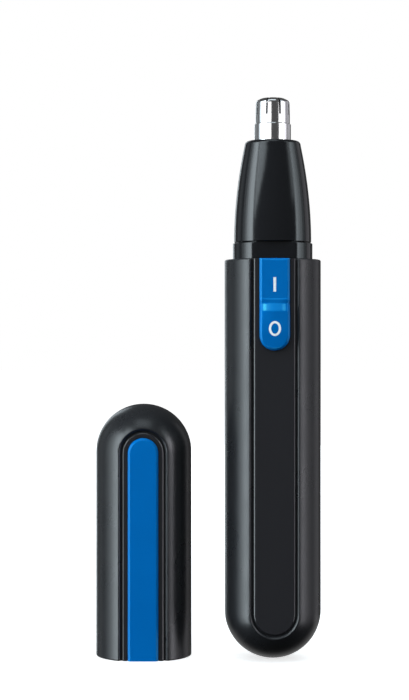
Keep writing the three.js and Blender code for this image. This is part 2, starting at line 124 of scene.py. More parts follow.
def shifted(path, distance):
    """The path moved to its left by a distance. Its ends stay on the axis."""
    out = []
    for i, point in enumerate(path):
        run = Vector(path[min(i + 1, len(path) - 1)]) - Vector(path[max(i - 1, 0)])
        left = Vector((-run.y, run.x)).normalized()
        if i in (0, len(path) - 1):
            left = Vector((0, math.copysign(1, left.y)))
        out.append(tuple(Vector(point) + left * distance))
    return out


SHARP = math.radians(32)
WELD = 4e-7  # metres


def clean(mesh):
    """Merges doubles, turns the faces out, shades them smooth and marks the sharp edges."""
    work = bmesh.new()
    work.from_mesh(mesh)
    bmesh.ops.remove_doubles(work, verts=work.verts, dist=WELD)
    bmesh.ops.dissolve_degenerate(work, edges=work.edges, dist=WELD)
    bmesh.ops.recalc_face_normals(work, faces=work.faces)
    for face in work.faces:
        face.smooth = True
    for edge in work.edges:
        edge.smooth = edge.is_manifold and edge.calc_face_angle(0) < SHARP
    work.to_mesh(mesh)
    work.free()


def make_piece(name, points, faces):
    """A clean mesh object from points and faces."""
    mesh = bpy.data.meshes.new(name)
    mesh.from_pydata([tuple(p) for p in points], [], faces)
    clean(mesh)
    piece = bpy.data.objects.new(name, mesh)
    bpy.context.scene.collection.objects.link(piece)
    return piece


def skin(rows, loop=False, around=False):
    """Points and faces of a sheet through the rows. loop joins the last row to the first, and
    around joins the ends of each row."""
    width = len(rows[0])
    points = [p for row in rows for p in row]
    faces = []
    for i in range(len(rows) if loop else len(rows) - 1):
        for k in range(width if around else width - 1):
            a, b = i * width, (i + 1) % len(rows) * width
            after = (k + 1) % width
            faces.append([a + k, a + after, b + after, b + k])
    return points, faces


def turned(name, profile, closed=False, segments=96):
    """A profile of (radius, z) points turned round the z axis. closed joins its ends."""
    angles = [2 * math.pi * k / segments for k in range(segments)]
    rows = [[(r * math.cos(a), r * math.sin(a), z) for a in angles] for r, z in profile]
    return make_piece(name, *skin(rows, loop=closed, around=True))


def u_path(dome, rim, arc_steps=40, line_steps=6):
    """A path from a rim along the right side, round the dome and back along the left side.
    Each station is (x per unit of radius, z per unit of radius, z)."""
    way = -1 if rim > dome else 1
    line = [rim + (dome - rim) * i / line_steps for i in range(line_steps)]
    bend = [math.pi * i / arc_steps for i in range(arc_steps + 1)]
    right = [(1, 0, z) for z in line]
    middle = [(math.cos(a), way * math.sin(a), dome) for a in bend]
    return right + middle + [(-1, 0, z) for z in reversed(line)]


def stationed(profile, station, at=(0, 0)):
    """A half profile of (distance sideways, y) points, at a station of a u_path round an axis."""
    across, up, z = station
    return [(at[0] + r * across, at[1] + y, z + r * up) for r, y in profile]


def u_solid(name, profile, dome, rim, closed=False, at=(0, 0)):
    """A half profile swept along a u_path, with flat ends at the rim."""
    rows = [stationed(profile, s, at) for s in u_path(dome, rim)]
    points, faces = skin(rows, around=closed)
    width, last = len(profile), (len(rows) - 1) * len(profile)
    first_row, last_row = list(range(width)), [last + k for k in range(width)]
    faces += [first_row[::-1], last_row] if closed else [last_row + first_row[::-1]]
    return make_piece(name, points, faces)


def round_shell(name, outer, inner, dome, rim, edge, at=(0, 0)):
    """A shell between two half profiles, closed by a dome and open at a rim with a rounded edge."""
    way = 1 if rim > dome else -1
    inner_edge = 0.12 * MM
    inner = matched(inner, outer)

    def rim_rows(side):
        rows = []
        for k in range(1, 6):
            a = math.radians(90 * k / 5)
            level = rim - way * edge * (1 - math.sin(a))
            rows.append(stationed(shifted(outer, -edge * (1 - math.cos(a))), (side, 0, level), at))
        for k in range(3, -1, -1):
            a = math.radians(90 * k / 3)
            level = rim - way * inner_edge * (1 - math.sin(a))
            rows.append(stationed(shifted(inner, inner_edge * (1 - math.cos(a))), (side, 0, level), at))
        return rows

    outside = [stationed(outer, s, at) for s in u_path(dome, rim - way * edge)]
    inside = [stationed(inner, s, at) for s in u_path(dome, rim - way * inner_edge)]
    rows = outside + rim_rows(-1) + inside[::-1][1:-1] + rim_rows(1)[::-1]
    return make_piece(name, *skin(rows, loop=True))


def cut(piece, *cutters):
    """Cuts closed mesh objects out of a piece, and removes them."""
    for cutter in cutters:
        tool = piece.modifiers.new("cut", "BOOLEAN")
        tool.operation, tool.solver, tool.object = "DIFFERENCE", "EXACT", cutter
        bpy.context.view_layer.update()
        made = bpy.data.meshes.new_from_object(piece.evaluated_get(bpy.context.evaluated_depsgraph_get()))
        piece.modifiers.clear()
        piece.data = made
        clean(made)
        bpy.data.objects.remove(cutter)
    return piece


def prism(name, outline, near, far):
    """An outline of (x, z) points made thick from y = -near to y = -far."""
    rows = [[(x, -y, z) for x, z in outline] for y in (near, far)]
    points, faces = skin(rows, around=True)
    width = len(outline)
    faces += [list(range(width)), list(range(width, 2 * width))[::-1]]
    return make_piece(name, points, faces)


def block(name, low, high):
    """A box from one corner to the other."""
    outline = [(low[0], low[2]), (high[0], low[2]), (high[0], high[2]), (low[0], high[2])]
    return prism(name, outline, -low[1], -high[1])


def softened(piece, width, segments=2):
    """Rounds a piece's sharp edges by a bevel."""
    bevel = piece.modifiers.new("edges", "BEVEL")
    bevel.width, bevel.segments = width, segments
    bevel.limit_method, bevel.angle_limit = "ANGLE", math.radians(40)
    bevel.harden_normals = False
    return piece


# ---------- materials ----------


class Look:
    """A Principled material, with short ways to add procedural detail to it."""

    def __init__(self, name, color, roughness, metallic=0.0, **values):
        self.material = bpy.data.materials.new(name)
        self.material.use_nodes = True
        self.tree = self.material.node_tree
        self.shader = self.tree.nodes["Principled BSDF"]
        self.color, self.roughness = color, roughness
        self.shader.inputs["Base Color"].default_value = (*color, 1)
        self.shader.inputs["Roughness"].default_value = roughness
        self.shader.inputs["Metallic"].default_value = metallic
        for key, value in values.items():
            self.shader.inputs[key.replace("_", " ")].default_value = value
        self.place = self.tree.nodes.new("ShaderNodeTexCoord").outputs["Object"]
        self.height = None

    def node(self, kind, **inputs):
        made = self.tree.nodes.new("ShaderNode" + kind)
        for key, value in inputs.items():
            socket = made.inputs[key.replace("_", " ")]
            if hasattr(value, "links"):
                self.tree.links.new(value, socket)
            else:
                socket.default_value = value
        return made

    def stretched(self, x, y, z):
        """The place, scaled along each axis, for grain that runs one way."""
        mapping = self.node("Mapping", Vector=self.place, Scale=(x, y, z))
        return mapping.outputs["Vector"]

    def noise(self, size, detail=3, place=None):
        """Noise whose features are about this size, in metres."""
        made = self.node("TexNoise", Vector=place or self.place, Scale=1 / size, Detail=detail)
        return made.outputs["Fac"]

    def ranged(self, value, low, high, start=0.3, end=0.7):
        """The value moved from start..end to low..high."""
        inputs = {"From_Min": start, "From_Max": end, "To_Min": low, "To_Max": high}
        return self.node("MapRange", Value=value, **inputs).outputs["Result"]

    def vary_roughness(self, value, spread):
        """Lets the roughness follow a 0..1 value, up and down by spread."""
        out = self.ranged(value, self.roughness - spread, self.roughness + spread)
        self.tree.links.new(out, self.shader.inputs["Roughness"])

    def vary_color(self, value, other, start=0.3, end=0.7):
        """Mixes the base colour with another one by a 0..1 value."""
        mix = self.tree.nodes.new("ShaderNodeMix")
        mix.data_type = "RGBA"
        share = self.ranged(value, 0, 1, start, end)
        self.tree.links.new(share, mix.inputs[0])
        mix.inputs[6].default_value = (*self.color, 1)
        mix.inputs[7].default_value = (*other, 1)
        self.tree.links.new(mix.outputs[2], self.shader.inputs["Base Color"])

    def bump(self, value, depth, strength=1.0):
        """Adds relief of this depth, in metres."""
        made = self.node("Bump", Height=value, Strength=strength, Distance=depth)
        if self.height is not None:
            self.tree.links.new(self.height, made.inputs["Normal"])
        self.height = made.outputs["Normal"]
        self.tree.links.new(self.height, self.shader.inputs["Normal"])


def satin_black():
    """Moulded ABS with a fine spark-eroded grain and faint handling marks."""
    look = Look("satin_black", (0.0135, 0.0142, 0.0160), 0.29)
    look.vary_roughness(look.noise(9 * MM, 4), 0.035)
    look.vary_color(look.noise(14 * MM, 2), (0.015, 0.0155, 0.0172))
    look.bump(look.noise(0.16 * MM, 2), 0.006 * MM, 0.5)
    return look.material


def gloss_black(name, color):
    """Polished ABS with a slight waviness and faint wipe marks along it."""
    look = Look(name, color, 0.14)
    look.vary_roughness(look.noise(4 * MM, 5, look.stretched(1, 1, 0.3)), 0.035)
    look.bump(look.noise(7 * MM, 2), 0.02 * MM, 0.25)
    return look.material


def blue_plastic():
    """Semi-gloss through-coloured blue plastic."""
    look = Look("blue_plastic", (0.0, 0.143, 0.49), 0.15, Specular_Tint=(0.12, 0.92, 1, 1))
    look.vary_roughness(look.noise(3 * MM, 4), 0.03)
    look.vary_color(look.noise(10 * MM, 2), (0.0, 0.136, 0.47))
    look.bump(look.noise(0.4 * MM, 2), 0.002 * MM, 0.3)
    return look.material


def polished_steel():
    """Turned and polished stainless steel: very fine marks round the axis."""
    look = Look("polished_steel", (0.86, 0.86, 0.87), 0.14, 1.0)
    look.vary_roughness(look.noise(0.5 * MM, 3, look.stretched(0.2, 0.2, 3)), 0.03)
    look.bump(look.noise(0.4 * MM, 2, look.stretched(0.2, 0.2, 2)), 0.0006 * MM, 0.2)
    return look.material


def plain_steel():
    look = Look("plain_steel", (0.58, 0.58, 0.59), 0.28, 1.0)
    look.vary_roughness(look.noise(0.8 * MM, 4, look.stretched(1, 1, 0.12)), 0.09)
    look.bump(look.noise(0.25 * MM, 3, look.stretched(1, 1, 0.1)), 0.004 * MM, 0.5)
    return look.material


def pressed_and_shaded():
    """The guard's inside and the walls of its slots: rough as they leave the press, and darker than real
    steel as painted shade in these recesses.
    """
    look = Look("pressed_steel_painted_shade", (0.22, 0.22, 0.23), 0.42, 1.0)
    look.vary_roughness(look.noise(0.4 * MM, 4), 0.08)
    look.bump(look.noise(0.15 * MM, 3), 0.003 * MM, 0.5)
    return look.material


def brass():
    look = Look("brass", (0.72, 0.51, 0.20), 0.26, 1.0)
    look.vary_roughness(look.noise(0.8 * MM, 4), 0.08)
    look.vary_color(look.noise(4 * MM, 3), (0.64, 0.44, 0.17))
    look.bump(look.noise(0.3 * MM, 3), 0.003 * MM, 0.4)
    return look.material


def copper():
    look = Look("copper", (0.86, 0.47, 0.31), 0.36, 1.0)
    look.vary_roughness(look.noise(0.9 * MM, 3), 0.06)
    look.vary_color(look.noise(5 * MM, 3), (0.74, 0.39, 0.26))
    look.bump(look.noise(0.5 * MM, 2, look.stretched(1, 1, 0.1)), 0.002 * MM, 0.3)
    return look.material


def grey_plastic():
    look = Look("grey_plastic", (0.105, 0.11, 0.115), 0.48)
    look.vary_roughness(look.noise(5 * MM, 4), 0.06)
    look.vary_color(look.noise(11 * MM, 3), (0.088, 0.093, 0.10))
    look.bump(look.noise(0.2 * MM, 2), 0.008 * MM, 0.5)
    return look.material


def white_plastic():
    look = Look("white_plastic", (0.70, 0.70, 0.66), 0.42, Subsurface_Weight=0.08, Subsurface_Scale=0.6 * MM)
    look.vary_roughness(look.noise(3 * MM, 4), 0.06)
    look.vary_color(look.noise(6 * MM, 3), (0.62, 0.62, 0.57))
    look.bump(look.noise(0.25 * MM, 2), 0.006 * MM, 0.4)
    return look.material


def seal_rubber():
    look = Look("seal_rubber", (0.018, 0.018, 0.018), 0.62)
    look.vary_roughness(look.noise(1.5 * MM, 4), 0.1)
    look.bump(look.noise(0.2 * MM, 3), 0.01 * MM, 0.6)
    return look.material


def ferrite():
    look = Look("ferrite", (0.05, 0.05, 0.054), 0.6, 0.3)
    look.vary_roughness(look.noise(0.6 * MM, 5), 0.15)
    look.bump(look.noise(0.3 * MM, 5), 0.02 * MM, 0.6)
    return look.material


def cell_label():
    """A plain printed battery sleeve: green, with a copper-coloured band at the positive end."""
    look = Look("cell_label", (0.020, 0.16, 0.075), 0.24, 0.35)
    z = look.node("SeparateXYZ", Vector=look.place).outputs["Z"]
    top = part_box("battery")[1].z
    look.vary_color(z, (0.62, 0.30, 0.12), top - 9.1 * MM, top - 9 * MM)
    look.vary_roughness(look.noise(6 * MM, 4), 0.06)
    look.bump(look.noise(2.5 * MM, 3, look.stretched(1, 1, 0.2)), 0.02 * MM, 0.3)
    return look.material


def sheath(name, color):
    look = Look(name, color, 0.42)
    look.vary_roughness(look.noise(1 * MM, 4), 0.08)
    look.bump(look.noise(0.3 * MM, 3), 0.01 * MM, 0.4)
    return look.material


def print_white():
    """Pad-printed ink."""
    look = Look("print_white", (0.90, 0.95, 0.96), 0.38)
    look.vary_roughness(look.noise(0.5 * MM, 3), 0.08)
    look.bump(look.noise(0.15 * MM, 2), 0.004 * MM, 0.5)
    return look.material


LOOKS = {
    "satin_black": satin_black(),
    "gloss_black": gloss_black("gloss_black", (0.0100, 0.0104, 0.0120)),
    "inlay_black": gloss_black("inlay_black", (0.0215, 0.0208, 0.0235)),
    "blue": blue_plastic(),
    "chrome": polished_steel(),
    "steel": plain_steel(),
    "pressed_and_shaded": pressed_and_shaded(),
    "brass": brass(),
    "copper": copper(),
    "grey_plastic": grey_plastic(),
    "white_plastic": white_plastic(),
    "seal_rubber": seal_rubber(),
    "ferrite": ferrite(),
    "cell_label": cell_label(),
    "red_sheath": sheath("red_sheath", (0.36, 0.012, 0.012)),
    "black_sheath": sheath("black_sheath", (0.012, 0.012, 0.012)),
    "print_white": print_white(),
}
SLOT_OF = {s["node"]: s["material_slot"] for s in frame["record"]["subparts"]}


def fit(piece, body, *nodes, slot=None, look=None):
    """Gives a finished piece its material and body, and hides the CAD nodes it stands in for."""
    slot = slot or SLOT_OF[nodes[0]]
    piece.data.materials.clear()
    piece.data.materials.append(LOOKS[look or slot])
    normals = piece.modifiers.new("normals", "WEIGHTED_NORMAL")
    normals.keep_sharp = True
    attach(piece, body)
    if nodes:
        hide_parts(*nodes)
    return piece


# ---------- handle casing and cap shell ----------
CHANNEL_EDGE_Y = -math.sqrt(BODY_R**2 - CHANNEL_HALF**2)


def body_profile(floor):
    """Half of the outer section of handle and cap, from the back to the middle of the channel."""
    edge_angle = math.degrees(math.atan2(CHANNEL_EDGE_Y, CHANNEL_HALF))
    back = arc((0, 0), BODY_R, 90, edge_angle, 44)
    corners = [
        (*back[-2], 0),
        (CHANNEL_HALF, CHANNEL_EDGE_Y, 0.2 * MM),
        (CHANNEL_HALF - 0.56 * MM, -floor - 0.04 * MM, 0.05 * MM),
        (CHANNEL_HALF - 0.60 * MM, -floor + 0.12 * MM, 0.04 * MM),
        (0, -floor + 0.12 * MM, 0),
    ]
    return back[:-2] + rounded(corners)


def bore_profile(radius, flat):
    """Half of a round bore with a flat front, from the back to the middle of the flat."""
    corner = math.sqrt(radius**2 - flat**2)
    return arc((0, 0), radius, 90, math.degrees(math.atan2(-flat, corner)), 44) + [(0, -flat)]


RIM_EDGE = 0.35 * MM  # rounding of the two rims that meet when the cap is on


def make_casing():
    """The handle's shell, with the slot for the switch's stem."""
    floor, bore, bore_flat = 8.9 * MM, 9.4 * MM, 7.7 * MM
    slot_half, slot_foot = 1.5 * MM, FOOT + 71.5 * MM
    outer, inner = body_profile(floor), bore_profile(bore, bore_flat)
    piece = round_shell("casing_shell", outer, inner, DOME, SHOULDER, RIM_EDGE)
    slot_low, slot_high = (-slot_half, -9.6 * MM, slot_foot), (slot_half, -7 * MM, SHOULDER + 2 * MM)
    cut(piece, block("slot_cutter", slot_low, slot_high))
    return fit(piece, "casing", "casing")


def make_cap_shell():
    """The cap's shell. Its bore leaves 0.02 mm behind the strip, where the CAD solid is open."""
    floor, bore, bore_flat = 8.98 * MM, 9.35 * MM, 8.84 * MM
    outer, inner = body_profile(floor), bore_profile(bore, bore_flat)
    piece = round_shell("cap_cover", outer, inner, CAP_DOME, CAP_RIM, RIM_EDGE, CAP)
    return fit(piece, "cap", "cap_shell")


# ---------- inlays, stripe and switch ----------
INLAY_BACK = 8.8 * MM
CHAMFER = 0.24 * MM


def make_front_panel():
    profile = rounded([
        (0, -INLAY_BACK, 0),
        (INLAY_HALF, -INLAY_BACK, 0.03 * MM),
        (INLAY_HALF, -INLAY_FACE + CHAMFER * 0.8, 0.08 * MM),
        (INLAY_HALF - CHAMFER, -INLAY_FACE, 0.10 * MM),
        (0, -INLAY_FACE, 0),
    ])
    piece = u_solid("front_inlay", profile, DOME, panel_high.z)
    gap = 0.16 * MM
    half, centre = BUTTON_HALF + gap, BUTTON_FOOT + BUTTON_HALF
    outline = [(half, SHOULDER + MM), *arc((0, centre), half, 0, -180, 40), (-half, SHOULDER + MM)]
    cut(piece, prism("button_cutter", outline, 8 * MM, 11 * MM))
    softened(piece, 0.09 * MM)
    return fit(piece, "casing", "front_panel", look="inlay_black")


def make_cap_inlay():
    slit, back = STRIPE_HALF + 0.1 * MM, 8.93 * MM
    profile = rounded([
        (slit, -INLAY_FACE + 0.3 * MM, 0),
        (slit, -back, 0.02 * MM),
        (INLAY_HALF, -back, 0.02 * MM),
        (INLAY_HALF, -INLAY_FACE + CHAMFER * 0.8, 0.08 * MM),
        (INLAY_HALF - CHAMFER, -INLAY_FACE, 0.10 * MM),
        (slit, -INLAY_FACE, 0.06 * MM),
        (slit, -INLAY_FACE + 0.3 * MM, 0),
    ])[:-1]
    piece = u_solid("cap_border", profile, CAP_DOME, CAP_RIM, closed=True, at=CAP)
    return fit(piece, "cap", "cap_inlay", look="inlay_black")


def make_cap_stripe():
    back = 8.95 * MM
    profile = rounded([
        (0, -back, 0),
        (STRIPE_HALF, -back, 0.03 * MM),
        (STRIPE_HALF, -STRIPE_FACE + 0.5 * MM, 0.12 * MM),
        (STRIPE_HALF - 0.5 * MM, -STRIPE_FACE, 0.2 * MM),
        (0, -STRIPE_FACE, 0),
    ], 6)
    return fit(u_solid("cap_stripe_bar", profile, CAP_DOME, CAP_RIM, at=CAP), "cap", "cap_stripe")


LEVEL = STRIPE_FACE  # the switch's upper part is level with the cap's stripe
HOLLOW = BUTTON_FOOT + 11.55 * MM  # a small step, where the upper part starts to run out to the ramp
RAMP = BUTTON_FOOT + 10.6 * MM
CREST = BUTTON_FOOT + 8.8 * MM
BUTTON_SIDE = rounded([
    (BUTTON_TOP + MM, LEVEL, 0),
    (HOLLOW + 0.17 * MM, LEVEL, 0.1 * MM),
    (HOLLOW - 0.17 * MM, LEVEL + 0.14 * MM, 0.1 * MM),
    (RAMP, LEVEL + 0.16 * MM, 0.2 * MM),
    (CREST, BUTTON_CREST, 0.3 * MM),
    (BUTTON_FOOT + 4 * MM, BUTTON_CREST - 0.1 * MM, 6 * MM),
    (BUTTON_FOOT - MM, LEVEL + 0.3 * MM, 0),
], 8)
CROWN = 0.45 * MM  # how much the ramp falls away to its two sides


def button_front(z, x=0):
    """How far the switch's face stands in front of the axis, at a place on it."""
    ahead = LEVEL
    for (z_above, y_above), (z_below, y_below) in zip(BUTTON_SIDE, BUTTON_SIDE[1:]):
        if z_below <= z <= z_above:
            ahead = y_above + (y_below - y_above) * (z_above - z) / (z_above - z_below)
    share = min(max((HOLLOW - z) / (HOLLOW - RAMP), 0), 1) - 0.7 * min(max((CREST - z) / (3 * MM), 0), 1)
    return ahead - CROWN * share * (x / BUTTON_HALF) ** 2


def chamfered(distance, size, soft=0.07 * MM):
    """How far a chamfered face has dropped at a distance from its edge."""
    gap = size - distance
    return (gap + math.sqrt(gap**2 + soft**2)) / 2


def make_button():
    back = 9.0 * MM
    insets = [x * MM for x in (0, 0.05, 0.15, 0.3, 0.38, 0.45, 0.52, 0.62, 0.8, 1.1, 1.6, 2.3, 2.9)]
    centre = BUTTON_FOOT + BUTTON_HALF
    heights = [BUTTON_TOP - x * MM for x in (0, 0.06, 0.15, 0.25, 0.33, 0.42, 0.55, 0.8, 1.3)]
    steps = 110
    heights += [heights[-1] + (centre - heights[-1]) * i / steps for i in range(1, steps)]
    heights = [z for z in heights if abs(z - HOLLOW) > 0.3 * MM]
    heights = sorted(heights + [HOLLOW + 0.05 * MM * k for k in range(-5, 6)], reverse=True)
    bend = [math.pi * i / 48 for i in range(49)]
    path = [(1, 0, z) for z in heights]
    path += [(math.cos(a), -math.sin(a), centre) for a in bend]
    path += [(-1, 0, z) for z in reversed(heights)]
    rows = []
    for across, up, z in path:
        row = [(0, -back, z), (BUTTON_HALF * across, -back, z + BUTTON_HALF * up)]
        for inset in insets + [BUTTON_HALF]:
            reach = BUTTON_HALF - inset
            height = z + reach * up
            drop = max(chamfered(inset, 0.48 * MM), chamfered(BUTTON_TOP - height, 0.3 * MM))
            row.append((reach * across, -(button_front(height, reach * across) - drop), height))
        rows.append(row)
    points, faces = skin(rows)
    width = len(rows[0])
    last = (len(rows) - 1) * width
    faces.append([last + k for k in range(width)] + list(range(width))[::-1])
    return fit(make_piece("thumb_switch", points, faces), "switch", "switch_button")


def make_switch_stem():
    low = (-1.2 * MM, -9.05 * MM, FOOT + 72 * MM)
    high = (1.2 * MM, -6.8 * MM, FOOT + 77 * MM)
    return fit(softened(block("switch_stem", low, high), 0.12 * MM), "switch", slot="blue")


def make_mark(name, ring_of, middle):
    """A printed mark on the switch. ring_of gives (x, z) of its inner and outer edge by an angle."""
    lift, sunk = 0.012 * MM, 0.06 * MM
    steps = 72
    rows = []
    for k in range(steps):
        (ax, az), (bx, bz) = ring_of(2 * math.pi * k / steps)
        line = [(ax + (bx - ax) * t, middle + az + (bz - az) * t) for t in (0, 0.33, 0.67, 1)]
        row = [(x, -(button_front(z, x) + lift), z) for x, z in line]
        ends = [(x, -(button_front(z, x) - sunk), z) for x, z in (line[-1], line[0])]
        rows.append(row + ends)
    return fit(make_piece(name, *skin(rows, loop=True, around=True)), "switch", slot="white_plastic",
               look="print_white")


def make_on_mark():
    half, tall = 0.3 * MM, 1.62 * MM

    def ring_of(a):
        x = half * math.copysign(min(1, abs(math.cos(a)) * 1.6), math.cos(a))
        z = tall * math.copysign(min(1, abs(math.sin(a)) * 1.25), math.sin(a))
        return (x * 0.02, z * 0.9), (x, z)
    return make_mark("mark_on", ring_of, FOOT + 85.1 * MM)


def make_off_mark():
    half, tall, stroke = 1.36 * MM, 1.68 * MM, 0.52 * MM

    def ring_of(a):
        c, s = math.cos(a), math.sin(a)
        return ((half - stroke) * c, (tall - stroke) * s), (half * c, tall * s)
    return make_mark("mark_off", ring_of, FOOT + 75.2 * MM)


# ---------- neck, head and guard ----------


def make_neck():
    """The collar with its flat front, the spigot with the seal's groove, and the hollow inside."""
    z = FOOT
    outside = rounded([
        (3.3 * MM, z + 82.3 * MM, 0),
        (9.1 * MM, z + 82.3 * MM, 0.15 * MM),
        (9.1 * MM, z + 91.05 * MM, 0),
        (9.1 * MM, z + 91.15 * MM, 0),
        (9.1 * MM, z + 94.8 * MM, 0.22 * MM),
        (7.3 * MM, z + 94.8 * MM, 0),
    ])
    spigot = rounded([
        (7.3 * MM, z + 94.8 * MM, 0),
        (7.3 * MM, z + 96.2 * MM, 0.05 * MM),
        (6.65 * MM, z + 96.2 * MM, 0.08 * MM),
        (6.65 * MM, z + 97.3 * MM, 0.08 * MM),
        (7.3 * MM, z + 97.3 * MM, 0.05 * MM),
        (7.3 * MM, z + 98.8 * MM, 0.25 * MM),
        (4.4 * MM, z + 98.8 * MM, 0.15 * MM),
        (4.4 * MM, z + 93.3 * MM, 0.1 * MM),
        (6.95 * MM, z + 93.3 * MM, 0.2 * MM),
        (6.95 * MM, z + 83.8 * MM, 0.2 * MM),
        (3.3 * MM, z + 83.8 * MM, 0.1 * MM),
        (3.3 * MM, z + 82.3 * MM, 0),
    ])
    profile = outside + spigot[1:-1]
    edge = 0.07 * MM  # rounding of the flat's two long edges
    segments = 180
    rows = []
    for radius, level in profile:
        row = []
        flat = 7.82 * MM if level > SHOULDER + 0.1 * MM else 7.6 * MM
        for k in range(segments):
            angle = 2 * math.pi * k / segments
            x, y = radius * math.cos(angle), radius * math.sin(angle)
            if radius > 7.6 * MM:
                gap = y + flat
                y = -flat + (gap + math.sqrt(gap**2 + edge**2)) / 2
            row.append((x, y, level))
        rows.append(row)
    return fit(make_piece("neck", *skin(rows, loop=True, around=True)), "drive_unit", "neck_collar")


def make_head():
    z, low, top = FOOT, head_low.z, head_high.z
    foot, rise = z + 95.15 * MM, 21.75
    steps = [rise * k / 40 for k in range(41)]
    wall = [((8.82 - 0.00565 * t**1.957) * MM, foot + t * MM) for t in steps]
    crown = rounded([(*wall[-1], 0), (6.28 * MM, top, 0.95 * MM), (4.27 * MM, top, 0)], 8)[1:-1]
    inside = rounded([
        (5.2 * MM, top, 0),
        (4.27 * MM, top, 0.12 * MM),
        (4.27 * MM, z + 113.2 * MM, 0.05 * MM),
        (5.4 * MM, z + 113.2 * MM, 0.1 * MM),
        (5.6 * MM, z + 109 * MM, 1 * MM),
        (6.9 * MM, z + 101.5 * MM, 0.5 * MM),
        (6.9 * MM, z + 100.6 * MM, 0.05 * MM),
        (7.75 * MM, z + 100.6 * MM, 0.05 * MM),
        (7.75 * MM, low, 0.12 * MM),
        (8.82 * MM, low, 0.14 * MM),
        (*wall[0], 0),
    ])[1:-1]
    return fit(turned("head", wall + crown + inside, closed=True, segments=144), "head", "head_housing")


GUARD_SLOTS = 8


def make_guard():
    """The slotted steel guard. Its columns follow the slots, so each slot has clean edges."""
    z, top = FOOT, guard_high.z - 0.25 * MM
    slot_half, slot_foot, slot_end = 0.21 * MM, z + 124.15 * MM, 1.3 * MM
    outside = rounded([
        (5.2 * MM, z + 112 * MM, 0),
        (5.2 * MM, z + 113.1 * MM, 0.08 * MM),
        (4.17 * MM, z + 113.1 * MM, 0.08 * MM),
        (4.17 * MM, z + 122.02 * MM, 0.08 * MM),
        (3.93 * MM, z + 122.16 * MM, 0.08 * MM),
        (3.93 * MM, slot_foot, 0),
        (3.85 * MM, top - 0.7 * MM, 0.9 * MM),
        (2.5 * MM, top - 0.07 * MM, 1.2 * MM),
        (slot_end, top - 0.01 * MM, 0),
    ], 8) + [(0.65 * MM, top), (0, top)]
    thick = 0.38 * MM
    inner = [(max(r - thick, 0), h) for r, h in outside]
    inner = [(r, min(h, top - thick)) for r, h in inner]
    per_finger, per_slot = 10, 2
    columns = []  # (which slot, side of it or share of the finger)
    for s in range(GUARD_SLOTS):
        columns += [(s, "slot", k / per_slot) for k in range(per_slot)]
        columns += [(s, "finger", k / per_finger) for k in range(per_finger)]

    def ring(radius, level):
        row = []
        half = math.asin(min(slot_half / max(radius, slot_half * 1.2), 0.9))
        pitch = 2 * math.pi / GUARD_SLOTS
        for s, kind, share in columns:
            middle = pitch * (s + 0.5)
            if kind == "slot":
                angle = middle - half + 2 * half * share
            else:
                angle = middle + half + (pitch - 2 * half) * share
            row.append((radius * math.cos(angle), radius * math.sin(angle), level))
        return row

    outer_rows = [ring(r, h) for r, h in outside]
    inner_rows = [ring(r, h) for r, h in inner]
    width, count = len(columns), len(outside)
    points = [p for row in outer_rows + inner_rows for p in row]
    faces = []

    def at(layer, row, column):
        return (layer * count + row) * width + column % width

    def is_open(row, column):
        r, h = outside[row]
        after = outside[row + 1]
        in_slot = columns[column % width][1] == "slot"
        return in_slot and h >= slot_foot - WELD and r > slot_end - WELD and after[0] >= slot_end - WELD

    for row in range(count - 1):
        for k in range(width):
            if is_open(row, k):
                for other, side in ((k - 1, k), (k + 1, k + 1)):
                    if not is_open(row, other):
                        outer_edge = [at(0, row, side), at(0, row + 1, side)]
                        faces.append(outer_edge + [at(1, row + 1, side), at(1, row, side)])
                for near, line in ((row - 1, row), (row + 1, row + 1)):
                    if not is_open(near, k):
                        faces.append([at(0, line, k), at(0, line, k + 1), at(1, line, k + 1), at(1, line, k)])
                continue
            for layer in (0, 1):
                lower_edge = [at(layer, row, k), at(layer, row, k + 1)]
                faces.append(lower_edge + [at(layer, row + 1, k + 1), at(layer, row + 1, k)])
    for k in range(width):
        faces.append([at(0, 0, k), at(0, 0, k + 1), at(1, 0, k + 1), at(1, 0, k)])
    piece = softened(make_piece("guard", points, faces), 0.035 * MM)
    fit(piece, "head", "outer_cutter")
    piece.data.materials.append(LOOKS["pressed_and_shaded"])
    # Faces that turn away from the outside, the inside and the slot walls, get the darker steel as painted
    # shade.
    for face in piece.data.polygons:
        axis = Vector((0, 0, min(face.center.z, top - 4 * MM)))
        outward = face.normal.dot((face.center - axis).normalized())
        face.material_index = 0 if outward > 0.3 else 1
    return piece


# ---------- inside: carrier, battery and motor ----------


def above(profile):
    """A profile of (radius, millimetres above the foot, rounding), in metres."""
    return rounded([(r * MM, FOOT + z * MM, soft * MM) for r, z, soft in profile], 6)


def flatted(name, stations, front_only=False, segments=180):
    """A ring through (radius, flat, height) stations in millimetres, cut flat in front and behind
    at that distance from the axis."""
    rows = []
    for radius, flat, level in stations:
        row = []
        for k in range(segments):
            angle = 2 * math.pi * k / segments
            y = max(radius * math.sin(angle), -flat)
            if not front_only:
                y = min(y, flat)
            row.append((radius * math.cos(angle) * MM, y * MM, FOOT + level * MM))
        rows.append(row)
    return make_piece(name, *skin(rows, loop=True, around=True))


def round_bar(name, radius, low, high, x=0, y=0, segments=96):
    """A closed cylinder, in millimetres above the foot."""
    profile = above([(0, low, 0), (radius, low, 0), (radius, high, 0), (0, high, 0)])
    bar = turned(name, profile, segments=segments)
    bar.data.transform(Matrix.Translation((x * MM, y * MM, 0)))
    return bar


